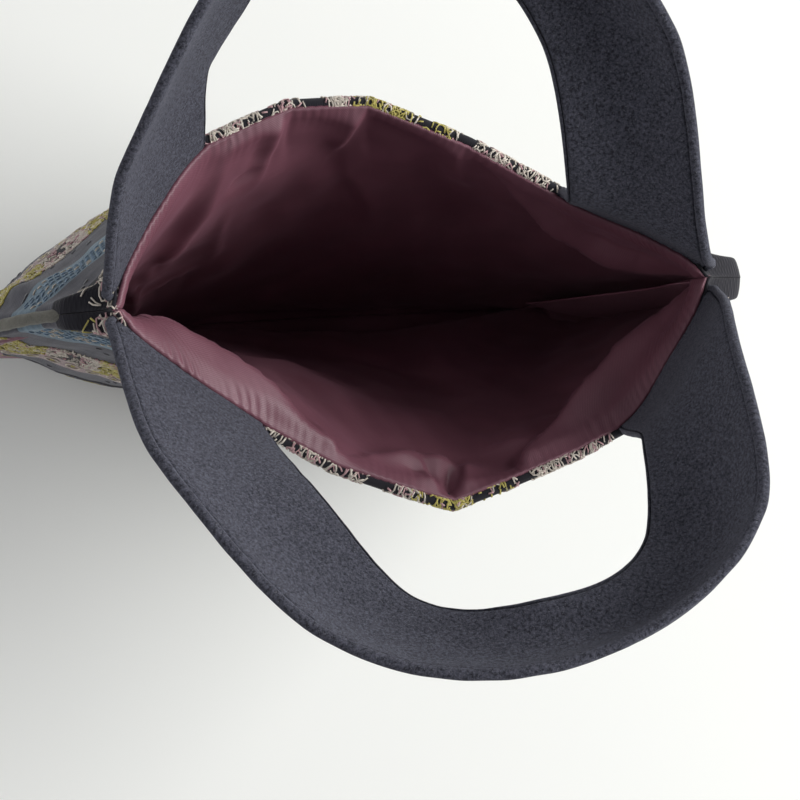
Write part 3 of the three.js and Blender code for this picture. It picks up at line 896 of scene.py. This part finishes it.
# %% Threads on the panels
RULER_END = 230.0
THREAD_RADIUS = 0.37
STITCH_LENGTH = 3.4
ROLLED_OVER = 4.6
THREAD_SIDES = 4


def thread_ground(side):
    """The embroidered face from the foot up, over the rolled rim and a little way down inside it."""
    outer, inner, run, depth = panel_shapes[side.label]
    over = depth[:, 0] <= ROLLED_OVER
    inner_rows = inner[over][::-1]
    face = np.concatenate([outer, inner_rows])
    gap = np.linalg.norm(inner[-1, PANEL_COLUMNS // 2] - outer[-1, PANEL_COLUMNS // 2])
    depths = np.concatenate([depth[:, 0], -gap - depth[over, 0][::-1]])
    runs = np.concatenate([run, run[over][::-1]])
    return face, grid_normals(face, side.outward), runs, depths


def lay_threads(side):
    """Lays every thread of one side, and returns the points, faces and colours of their cords."""
    face, normals, runs, depths = thread_ground(side)
    rows, columns = face.shape[:2]
    ruler = np.arange(-RULER_END, RULER_END + 1)
    places = np.stack([np.interp(ruler, runs[r], np.arange(columns)) for r in range(rows)])
    low = runs.min(axis=1)
    high = runs.max(axis=1)
    rising = np.arange(rows)[::-1]

    def sample(grid, row, column):
        r = np.clip(np.floor(row).astype(int), 0, rows - 2)
        c = np.clip(np.floor(column).astype(int), 0, columns - 2)
        fr = (row - r)[:, None]
        fc = (column - c)[:, None]
        return lerp(lerp(grid[r, c], grid[r, c + 1], fc), lerp(grid[r + 1, c], grid[r + 1, c + 1], fc), fr)

    points = []
    faces = []
    dyes = []
    used = 0
    top = -3.6
    bottom = 0.0
    for index, (band_depth, _, motif) in enumerate(BANDS):
        bottom += band_depth
        top = top if index == 0 else bottom - band_depth
        for dye, path in MOTIFS[motif](-200, 200, top + 0.8, bottom - 0.8):
            row = np.interp(path[:, 1], depths[::-1], rising)
            near = np.clip(np.round(row).astype(int), 0, rows - 1)
            inside = ((path[:, 0] > low[near] + 1.4) & (path[:, 0] < high[near] - 1.4)
                      & (path[:, 1] < depths[0] - 2))
            if inside.sum() < 3 or not inside.all() and len(path) < 12:
                continue
            path = path[inside]
            row = row[inside]
            r = np.clip(np.floor(row).astype(int), 0, rows - 2)
            k = np.clip(path[:, 0] + RULER_END, 0, 2 * RULER_END - 0.1)
            k0 = k.astype(int)
            first = lerp(places[r, k0], places[r, k0 + 1], k - k0)
            second = lerp(places[r + 1, k0], places[r + 1, k0 + 1], k - k0)
            column = lerp(first, second, row - r)
            at = sample(face, row, column)
            if at[:, 2].min() < 1.2 or np.linalg.norm(np.diff(at, axis=0), axis=-1).max() > 7:
                continue
            normal = unit(sample(normals, row, column))
            length = lengths_along(at)
            pull = 0.62 + 0.38 * np.abs(np.sin(math.pi * length / STITCH_LENGTH + draw.uniform(0, 3)))
            tip = np.minimum(length, length[-1] - length)
            lift = THREAD_RADIUS * (pull - 0.55 * np.exp(-tip / 0.5))
            radius = THREAD_RADIUS * (0.82 + 0.18 * pull) * draw.uniform(0.85, 1.12)
            ahead = unit(np.gradient(at, axis=0))
            side_way = unit(np.cross(ahead, normal))
            centre = at + normal * lift[:, None]
            turns = np.arange(THREAD_SIDES) * 2 * math.pi / THREAD_SIDES + math.pi / THREAD_SIDES
            turns = turns[None, :, None]
            round_it = side_way[:, None] * np.cos(turns) + normal[:, None] * np.sin(turns)
            ring = centre[:, None] + radius[:, None, None] * round_it
            count = len(at)
            faces.append(used + tube_faces(count, THREAD_SIDES))
            ends = np.array([np.arange(THREAD_SIDES)[::-1],
                             (count - 1) * THREAD_SIDES + np.arange(THREAD_SIDES)]) + used
            faces.append(ends)
            points.append(ring.reshape(-1, 3))
            shade = np.array(THREADS[dye]) * draw.uniform(0.8, 1.12)
            shade[3] = 1.0
            dyes.append(np.repeat(shade[None], count * THREAD_SIDES, axis=0))
            used += count * THREAD_SIDES
    return np.concatenate(points), np.concatenate(faces), np.concatenate(dyes)


for side in (front, back):
    points, faces, dyes = lay_threads(side)
    points[:, 2] = np.maximum(points[:, 2], 0.05)
    threads = make_object(f"{side.label}_embroidery", points, faces.tolist())
    layer = threads.data.color_attributes.new("dye", "FLOAT_COLOR", "POINT")
    layer.data.foreach_set("color", dyes.astype(np.float32).ravel())
    finish_piece(threads, None, thread_finish)

# %% [markdown]
# ## The lining
# The satin is thinner than the panels and hangs straighter, so from above its two walls run down to the seam
# in a V. Along the rim its stitches gather it into small puckers, and at each tuck it dives into a crease.
# Each crease is a line on the flat cloth, in millimetres of run and depth, with a width on either side of
# it, so one flank can be steep and the other one soft, and a height that is positive towards the inside.

# %% Creases
LINING_COLUMNS = 320
LINING_ROWS = 96
LINING_EDGE = 1.2
LINING_GAP = 0.7
LINING_LOWEST = PANEL_THICKNESS + 0.6
PUCKER_LENGTH = 3.4


def crease(run, depth, line, near, far, height, sharp=1.4, start=1.0, end=0.1):
    """A fold along a line of (run, depth) places.

    near is its width on the side of less run for a line that goes down, and on the deeper side for one
    that goes along the rim. start and end are its strength at its two ends.
    """
    nearest = np.full(run.shape, 1e9)
    signed = np.zeros(run.shape)
    along = np.zeros(run.shape)
    line = np.array(line, float)
    total = lengths_along(line)
    for (a0, b0), (a1, b1), reached, after in zip(line[:-1], line[1:], total[:-1], total[1:]):
        length2 = (a1 - a0)**2 + (b1 - b0)**2
        k = np.clip(((run - a0) * (a1 - a0) + (depth - b0) * (b1 - b0)) / length2, 0, 1)
        gap_a = run - a0 - k * (a1 - a0)
        gap_b = depth - b0 - k * (b1 - b0)
        gap = np.hypot(gap_a, gap_b)
        closer = gap < nearest
        nearest = np.where(closer, gap, nearest)
        signed = np.where(closer, (a1 - a0) * gap_b - (b1 - b0) * gap_a, signed)
        along = np.where(closer, (reached + k * (after - reached)) / total[-1], along)
    width = np.where(signed > 0, near, far)
    strength = lerp(start, 1, smooth(along, 0, 0.3)) * lerp(1, end, smooth(along, 0.55, 1))
    return height * strength * np.exp(-np.abs(nearest / width)**sharp)


LINING_CREASES = dict(
    front=[
        ([(-4, 0), (-7, 10), (-11, 24)], 8, 2, 3.4),
        ([(1, 0), (3, 10), (8, 22)], 2.5, 4, -3.2),
        ([(7, 0), (12, 12), (17, 26)], 2, 8, 2.8),
        ([(-30, 12), (-10, 22), (6, 22), (18, 12)], 2.2, 8, 5.5, 1.4, 0.4),
        ([(-15, 12), (-6, 12)], 3, 3, -2.2, 1.8, 0.6, 0.4),
        ([(-46, 0), (-50, 8), (-54, 18)], 7, 1.8, 2.6),
        ([(-126, 12), (-100, 16), (-78, 12), (-60, 8), (-44, 5)], 1.8, 9, 8.5, 1.5, 0.6, 0.15),
        ([(-136, 20), (-122, 14), (-106, 12)], 3, 6, 3.0, 1.4, 0.6, 0.2),
        ([(35, 0), (38, 9), (47, 22)], 1.8, 7, 3.2),
        ([(30, 0), (33, 12), (36, 24)], 6, 2, -1.6),
        ([(31, 27), (38, 27), (46, 21)], 2, 4, 2.6, 1.4, 0.4),
        ([(50, 13), (64, 17), (82, 20), (100, 23), (118, 23), (140, 16)], 2.4, 12, 12.5, 1.6, 0.4, 0.4),
        ([(60, 7), (80, 11), (100, 15), (122, 16)], 4, 4, -1.8, 1.8, 0.4, 0.3),
        ([(86, 30), (98, 29), (112, 33)], 2, 5, 2.0, 1.3, 0.4),
        ([(-20, 40), (-34, 80), (-40, 130)], 16, 9, 2.5, 1.8, 0.2),
        ([(30, 46), (44, 90), (46, 140)], 8, 18, 2.5, 1.8, 0.2),
    ],
    back=[
        ([(-42, 0), (-45, 14), (-52, 34)], 8, 1.8, 3.0, 1.3),
        ([(-38, 0), (-38, 12), (-36, 30)], 2.2, 7, -1.5),
        ([(-10, 0), (-12, 12), (-17, 30)], 9, 1.8, 3.6, 1.3),
        ([(-6, 0), (-5, 14), (0, 32)], 2.2, 8, -1.5),
        ([(-13, 22), (-8, 42), (6, 64), (18, 100)], 5, 5, 2.0, 1.6, 0.3),
        ([(-50, 11), (-51, 23)], 5, 5, -2.6, 2.0, 0.6, 0.4),
        ([(-65, 28), (-56, 25), (-47, 23)], 2.5, 4, -2.2, 1.4, 0.3),
        ([(-66, 8), (-76, 36), (-84, 65), (-90, 100)], 4, 26, 7.0, 1.4, 0.3, 0.3),
        ([(-61, 46), (-58, 72), (-56, 96), (-58, 116)], 5, 1.5, 2.2, 1.2, 0.2),
        ([(-88, 72), (-85, 94)], 3, 4, -2.4, 1.8, 0.4, 0.3),
        ([(-92, 126), (-83, 121), (-72, 118), (-58, 111)], 2, 5, 2.4, 1.3, 0.4),
        ([(-96, 96), (-91, 120), (-84, 142), (-75, 174)], 7, 2, 4.0, 1.3, 0.3),
        ([(-106, 30), (-100, 60), (-98, 92)], 2, 6, 2.4, 1.3, 0.3),
        ([(62, 16), (76, 24), (96, 29), (116, 28), (134, 20)], 2.6, 13, 8.5, 1.5, 0.4, 0.3),
        ([(86, 16), (104, 18), (126, 14)], 4, 5, -2.4, 1.7, 0.3, 0.3),
        ([(112, 40), (124, 32), (138, 22)], 2, 5, 3.0, 1.3, 0.4),
        ([(30, 0), (34, 14), (44, 34)], 8, 2.5, 1.8),
        ([(22, 50), (34, 90), (40, 140)], 14, 9, 2.4, 1.8, 0.2),
    ],
)

# %% [markdown]
# The lining's inner face is made the same way, with its puckers and creases added to its depth. Its side ends
# are then pulled in from the seam.

# %% Linings
for side in (front, back):
    grid_u, grid_v, points, run, depth = cloth_grid(side, LINING_COLUMNS, LINING_ROWS, inside=True)
    normals = grid_normals(points, side.outward)
    seed = 41 if side.outward < 0 else 57
    away = np.minimum(grid_u, 1 - grid_u)
    seam_away = from_seam(side, grid_u)
    inside = smooth(away, 0, 0.07) * smooth(grid_v, 0.02, 0.2)
    rim_place = grid_u * side.rim_length
    pucker = np.sin(rim_place * 2 * math.pi / PUCKER_LENGTH + 2.4 * ripples(rim_place, 0 * depth, 17, seed))
    edge = LINING_EDGE + 0.4 * leg_mask(side, grid_u)
    inset = lerp(edge, PANEL_THICKNESS + LINING_GAP, smooth(depth, 1, 16)) + tuck_depth(side, grid_u, grid_v)
    uneven = 0.55 + 0.45 * ripples(rim_place, 0 * depth, 31, seed + 5)
    inset += 0.9 * np.exp(-((depth - 4) / 3.2)**2) + 0.32 * uneven * pucker * np.exp(-(depth / 8)**2)
    soft = 1.5 * ripples(run, depth * 0.4, 44, seed + 1) + 0.6 * ripples(run, depth * 0.6, 19, seed + 2)
    inset += np.maximum(soft + 1.2, 0) * inside * smooth(depth, 6, 34)
    below_edge = smooth(depth, 0.5, 7)
    for fold in LINING_CREASES[side.label]:
        inset += crease(run, depth, *fold) * below_edge
    face = points - normals * inset[..., None] + side.taut(grid_u, depth)
    face = closing(side, face, grid_u, grid_v, SEAM_EDGE)
    pulled_in = 0.4 + 1.8 * smooth(depth, 2, 9) + 16 * smooth(depth, 10, 30)
    face[..., 0] -= pulled_in * np.sign(grid_u - 0.5) * np.exp(-(seam_away / 8)**2)
    face[..., 2] = np.maximum(face[..., 2], LINING_LOWEST)
    face[..., 2] -= 0.8 * rounded(depth, 2.0)
    face = off_seam(side, face, grid_v, SEWN_GAP)
    inner = off_seam(side, face - grid_normals(face, side.outward) * LINING_THICKNESS, grid_v, SEWN_GAP)
    uv = np.stack([run, depth], -1) * METRE
    lining = closed_sheet(f"{side.label}_lining_cloth", face, inner, uv, side.outward)
    finish_piece(lining, f"{side.label}_lining", satin)

# %% [markdown]
# ## The handles
# Each handle is two layers. The outer one is cut wider and its edges are turned over the facing, which
# leaves a rolled welt: 2.5 mm wide along the outer edge and about one along the inner edge. The strip is
# hollowed between its edges, deepest to the right of its middle.

# %% Handles
HANDLE_STATIONS = 300
HANDLE_COLUMNS = 41
FLAT_POINTS = 22
WELT = 2.5
NARROW_WELT = 0.9
FOOT_TUCKED_IN = 4.0
FOOT_SET_OUT = 2.4
RIM_STEP = 0.004


def extended(grid, column, end):
    """A grid with one more column, before its first one or after its last."""
    pieces = [column[:, None], grid]
    return np.concatenate(pieces if end == 0 else pieces[::-1], axis=1)


def handle_frame(side, stations, columns):
    """The hollowed strip of a handle as a grid, and its normals."""
    along = np.linspace(-1, 1, stations)
    across = np.linspace(0, 1, columns)
    grid_along, grid_across = np.meshgrid(along, across)
    flat = side.strip(grid_along, grid_across)
    normals = grid_normals(flat, side.outward)
    deeper = 1.5 + 6.5 * np.exp(-((grid_along - 0.28) / 0.4)**2)
    hollow = (HANDLE_GUTTER + deeper) * np.sin(np.pi * grid_across) * (1 - grid_along**6)
    grid = flat + normals * hollow[..., None]
    normals = grid_normals(grid, side.outward)
    foot = side.leg_share * (1 - grid_across)
    place = np.where(grid_along < 0, foot, 1 - foot)
    low = side.wall(place, 0.998)
    step = side.wall(np.minimum(place + RIM_STEP, 1), 1) - side.wall(np.maximum(place - RIM_STEP, 0), 1)
    square = unit(np.cross(step, side.wall(place, 1) - low)) * -side.outward
    footing = (np.abs(grid_along)**10)[..., None]
    normals = unit(lerp(normals, square, footing))
    for end in (0, -1):
        down = side.rise(place[:, end]) * -FOOT_TUCKED_IN
        for _ in range(2):
            grid = extended(grid, grid[:, end] + down * 0.5, end)
            normals = extended(normals, normals[:, end], end)
    return grid, normals


def handle_point(grid, normals, run, depth):
    """Points run mm from the inner edge and depth mm below the outer face, at every station."""
    columns, stations = grid.shape[:2]
    widths = np.linalg.norm(np.diff(grid, axis=0), axis=-1)
    reach = np.concatenate([np.zeros((1, stations)), np.cumsum(widths, axis=0)])
    result = np.empty((stations, 3))
    for k in range(stations):
        place = np.clip(run[k], 0, reach[-1, k])
        point = np.array([np.interp(place, reach[:, k], grid[:, k, axis]) for axis in range(3)])
        normal = np.array([np.interp(place, reach[:, k], normals[:, k, axis]) for axis in range(3)])
        edge = unit(grid[-1, k] - grid[-2, k]) if run[k] > place else unit(grid[1, k] - grid[0, k])
        result[k] = point + edge * (run[k] - place) - unit(normal) * depth[k]
    return result


def handle_rings(side, section, seed):
    """Rings of a section [(run from inner edge, run from outer edge, share of width, depth), ...]."""
    grid, normals = handle_frame(side, HANDLE_STATIONS, HANDLE_COLUMNS)
    widths = np.linalg.norm(np.diff(grid, axis=0), axis=-1).sum(axis=0)
    middle = grid[HANDLE_COLUMNS // 2]
    along = lengths_along(middle)
    rings = []
    uv = []
    swing = np.abs(np.linspace(-1, 1, len(along)))
    set_out = FOOT_SET_OUT * smooth(swing, 0.72, 0.97)
    for start, end, share, depth in section:
        run = start + share * (widths - start - end)
        wave = 0.16 * ripples(along, run, 34, seed) + 0.1 * ripples(along, run, 12, seed + 1)
        rings.append(handle_point(grid, normals, run, depth + wave - set_out))
        uv.append(np.stack([along, run], -1) * METRE)
    return np.stack(rings, 1), np.stack(uv, 1)


def flat_run(start, end, first_depth, last_depth, backwards=False):
    """Section points across the flat of a layer, from start mm off one edge to end mm off the other."""
    shares = np.linspace(0, 1, FLAT_POINTS)
    if backwards:
        shares = shares[::-1]
    crown = np.sin(np.pi * shares)**0.5
    return [(start, end, s, lerp(first_depth, last_depth, c)) for s, c in zip(shares, crown)]


OUTER_SECTION = [
    *flat_run(0.5, 0.7, 0.1, -0.1),
    (0, 0.0, 1, 0.5), (0, -0.3, 1, 1.3), (0, -0.25, 1, 2.3), (0, 0.35, 1, 3.2), (0, 1.3, 1, 3.65),
    (0, 2.3, 1, 3.5), (0, WELT, 1, 2.9), (0, WELT + 0.1, 1, 2.2),
    *flat_run(NARROW_WELT + 0.2, WELT + 0.3, 1.6, 1.6, True),
    (NARROW_WELT, 0, 0, 2.2), (NARROW_WELT - 0.3, 0, 0, 2.9), (0.4, 0, 0, 3.2), (-0.15, 0, 0, 2.6),
    (-0.3, 0, 0, 1.6), (-0.1, 0, 0, 0.7),
]
FACING_SECTION = [
    *flat_run(NARROW_WELT + 0.3, WELT + 0.45, 2.0, 1.9),
    (0, WELT + 0.3, 1, 2.5), (0, WELT + 0.45, 1, 3.0), (0, WELT + 1.0, 1, 3.4),
    *flat_run(NARROW_WELT + 0.9, WELT + 1.9, 3.5, 3.7, True),
    (NARROW_WELT + 0.35, 0, 0, 3.25), (NARROW_WELT + 0.15, 0, 0, 2.6),
]

for side in (front, back):
    seed = 71 if side.outward < 0 else 83
    for layer, section, area in (("outer", OUTER_SECTION, 0.0165), ("facing", FACING_SECTION, 0.0150)):
        rings, uv = handle_rings(side, section, seed)
        if side.outward < 0:
            rings = rings[:, ::-1]
            uv = uv[:, ::-1]
        sewn = swept(f"{side.label}_handle_{layer}_cloth", rings, uv)
        finish_piece(sewn, f"{side.label}_handle_{layer}", moleskin)

# %% [markdown]
# ## The piping
# A round cord in a bias strip, sewn into the seam. The wrap pulls it slightly in at each stitch, and a bias
# strip always twists a little, which shows as slanting waves.

# %% Piping
PIPING_STEPS = 620
PIPING_SIDES = 16
PIPING_START = 16.0
PIPING_END = 34.0
PIPING_TAPER = 9.0
seam_v = np.linspace(0, 1, 400)


def seam_points(hand):
    x = seam_x(seam_v) + hand * seam_half_width(seam_v)
    return np.stack([x, seam_y(seam_v), seam_height(seam_v)], -1)


seam = np.vstack([seam_points(-1)[::-1], seam_points(1)])
run = lengths_along(seam)
stations = np.linspace(PIPING_START, run[-1] - PIPING_END, PIPING_STEPS)
line = np.stack([np.interp(stations, run, seam[:, axis]) for axis in range(3)], -1)
ahead = unit(np.gradient(line, axis=0))
outwards = unit(np.stack([ahead[:, 2], 0 * ahead[:, 0], -ahead[:, 0]], -1))
across = unit(np.cross(ahead, outwards))
wobble = 0.45 * ripples(stations, 0 * stations, 38, 5)
ends = np.minimum(stations - stations[0], stations[-1] - stations)
lift = (PIPING_DIAMETER / 2 + PIPING_CLEARANCE) * smooth(ends, -4, PIPING_TAPER)
line = line + outwards * lift[:, None] + across * wobble[:, None]
turns = np.linspace(0, 2 * math.pi, PIPING_SIDES, endpoint=False)
twist = (0.10 * np.sin(stations[:, None] * 2 * math.pi / 9 + 2 * turns[None])
         + 0.05 * np.sin(stations[:, None] * 2 * math.pi / 3.1 + turns[None]))
radius = PIPING_DIAMETER / 2 + twist
radius = radius * np.sqrt(np.clip(ends / PIPING_TAPER, 0.01, 1))[:, None]
ring = (outwards[:, None] * np.cos(turns)[None, :, None] + across[:, None] * np.sin(turns)[None, :, None])
rings = line[:, None] + ring * radius[..., None]
uv = np.stack(np.broadcast_arrays(stations[:, None], turns[None] * PIPING_DIAMETER / 2), -1) * METRE
piping = swept("seam_piping_cord", rings[:, ::-1], uv[:, ::-1])
finish_piece(piping, "seam_piping", bias_cotton)

# %% [markdown]
# ## The floor and the light
# A pale floor, one large soft lamp from the right and a little behind, and a graded sky that is brightest low
# down and to the left. Their strengths were set by comparing the floor and the satin with the photograph.

# %% Floor and lights
FLOOR_SIZE = 8.0
LAMP_DISTANCE = 2.3
LAMP_HEADING = math.radians(9)
LAMP_HEIGHT = math.radians(37)
LAMP_SIZE = (2.6, 1.5)
LAMP_ENERGY = 79
LAMP_AIM_HEIGHT = 0.15
SKY_STRENGTH = 1.65
bpy.ops.mesh.primitive_plane_add(size=FLOOR_SIZE)
floor = bpy.context.active_object
floor.name = "floor"
floor.location.z = -0.0004
floor_finish, tree, shader = new_finish("pale_floor", colour(247, 248, 243), 0.9, Specular_IOR_Level=0.1)
floor.data.materials.append(floor_finish)

world = bpy.data.worlds.new("studio")
bpy.context.scene.world = world
world.use_nodes = True
tree = world.node_tree
sky = tree.nodes["Background"]
towards = add(tree, "SeparateXYZ", {"Vector": add(tree, "TexCoord").outputs["Generated"]})
dome = ramp(tree, towards.outputs["Z"],
            [(0.0, (0.95, 0.95, 0.97, 1)), (0.4, (0.52, 0.52, 0.54, 1)), (1.0, (0.12, 0.12, 0.13, 1))])
front_to_back = towards.outputs["Y"]
sideways = add(tree, "Math", {0: front_to_back, 1: front_to_back}, operation="MULTIPLY").outputs[0]
side_light = ramp(tree, sideways, [(0.05, (1, 1, 1, 1)), (0.6, (0.3, 0.3, 0.31, 1))])
dome = mixed(tree, 1.0, dome, side_light, "MULTIPLY")
heading = add(tree, "Math", {0: towards.outputs["X"], 1: 0.5, 2: 0.5}, operation="MULTIPLY_ADD").outputs[0]
left_light = ramp(tree, heading, [(0.1, (1, 1, 1, 1)), (0.6, (0.5, 0.5, 0.51, 1))])
dome = mixed(tree, 1.0, dome, left_light, "MULTIPLY")
seen = add(tree, "LightPath").outputs["Is Camera Ray"]
tree.links.new(mixed(tree, seen, dome, (0.58, 0.585, 0.57, 1)), sky.inputs["Color"])
sky.inputs["Strength"].default_value = SKY_STRENGTH

lamp_data = bpy.data.lights.new("window", "AREA")
lamp_data.shape = "RECTANGLE"
lamp_data.size, lamp_data.size_y = LAMP_SIZE
lamp_data.energy = LAMP_ENERGY
lamp = bpy.data.objects.new("window", lamp_data)
bpy.context.scene.collection.objects.link(lamp)
reach = LAMP_DISTANCE * math.cos(LAMP_HEIGHT)
lamp.location = (reach * math.cos(LAMP_HEADING), reach * math.sin(LAMP_HEADING),
                 LAMP_AIM_HEIGHT + LAMP_DISTANCE * math.sin(LAMP_HEIGHT))
aim = Vector((0, 0, LAMP_AIM_HEIGHT)) - lamp.location
lamp.rotation_euler = aim.to_track_quat("-Z", "Y").to_euler()
print("lamp at", tuple(round(value, 2) for value in lamp.location))
bpy.context.scene.view_settings.view_transform = "Standard"
